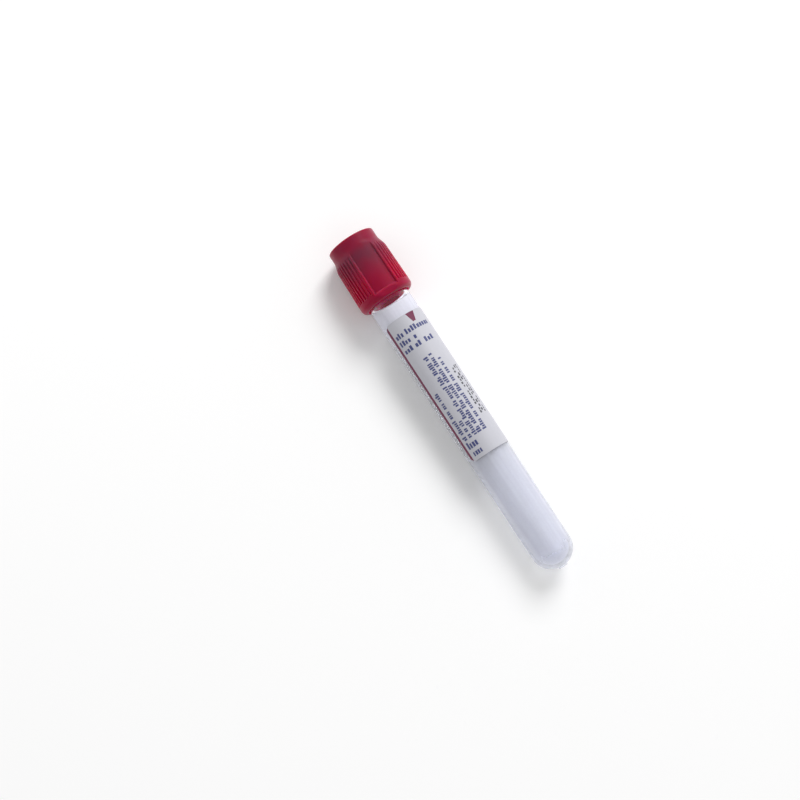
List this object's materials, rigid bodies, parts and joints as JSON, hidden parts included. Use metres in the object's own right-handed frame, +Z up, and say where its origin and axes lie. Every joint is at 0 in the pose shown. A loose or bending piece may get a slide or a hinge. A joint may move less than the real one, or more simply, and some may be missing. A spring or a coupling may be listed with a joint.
{
  "type": "blood collection tube",
  "caption": "Clear round-bottomed blood collection tube with a ribbed red rubber stopper and a wrapped label, lying on the stopper's flat.",
  "frame": {"origin": "on the table, under the middle of the tube's own box", "axes": "+X towards the round end, stopper at -X; +Z up, away from the table; the tube's axis rises 1.1 degrees towards the stopper"},
  "size_m": [0.1144, 0.0172, 0.0161],
  "materials": {
    "clear_plastic": "clear moulded PET, glossy",
    "red_rubber": "moulded rubber, satin",
    "label_paper": "coated label paper, satin"
  },
  "bodies": {
    "vessel": {"tube": "clear_plastic", "label": "label_paper"},
    "closure": {"stopper": "red_rubber"}
  },
  "joints": [
    {"name": "stopper_pull", "type": "slide", "parent": "vessel", "child": "closure", "axis": [-0.9998, 0, 0.0192], "range_m": [0, 0.03]}
  ]
}
